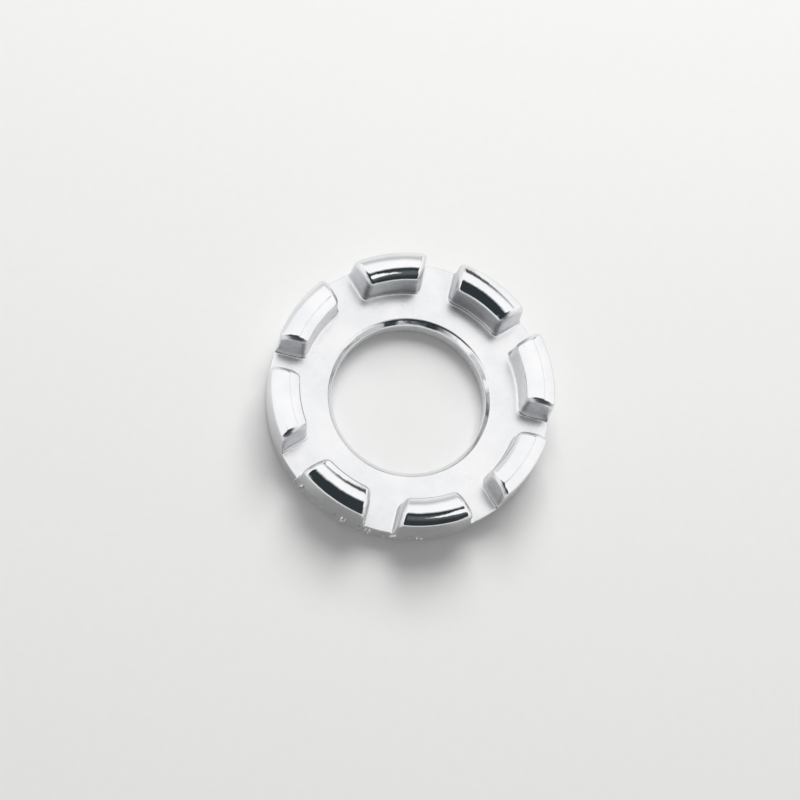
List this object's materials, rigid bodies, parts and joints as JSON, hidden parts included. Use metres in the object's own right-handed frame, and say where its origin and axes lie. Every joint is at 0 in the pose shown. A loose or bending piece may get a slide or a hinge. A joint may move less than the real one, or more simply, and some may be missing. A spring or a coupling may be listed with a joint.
{
  "type": "spoke wrench",
  "caption": "Round chromed spoke wrench: a flat ring with a centre hole and a crown of domed jaw lugs, whose graded slots grip spoke nipples of different sizes.",
  "frame": {"origin": "centre of the ring on the plane of its flat back", "axes": "+Z along the axis of the centre hole, from the back towards the jaws; +X along the middle of the narrowest slot"},
  "size_m": [0.04, 0.04, 0.0093],
  "materials": {
    "chromed_casting": "bright chrome plating on a polished die casting"
  },
  "bodies": {
    "root": {"web_ring": "chromed_casting", "jaw_lug_1": "chromed_casting", "jaw_lug_2": "chromed_casting", "jaw_lug_3": "chromed_casting", "jaw_lug_4": "chromed_casting", "jaw_lug_5": "chromed_casting", "jaw_lug_6": "chromed_casting", "jaw_lug_7": "chromed_casting", "jaw_lug_8": "chromed_casting"}
  },
  "joints": []
}
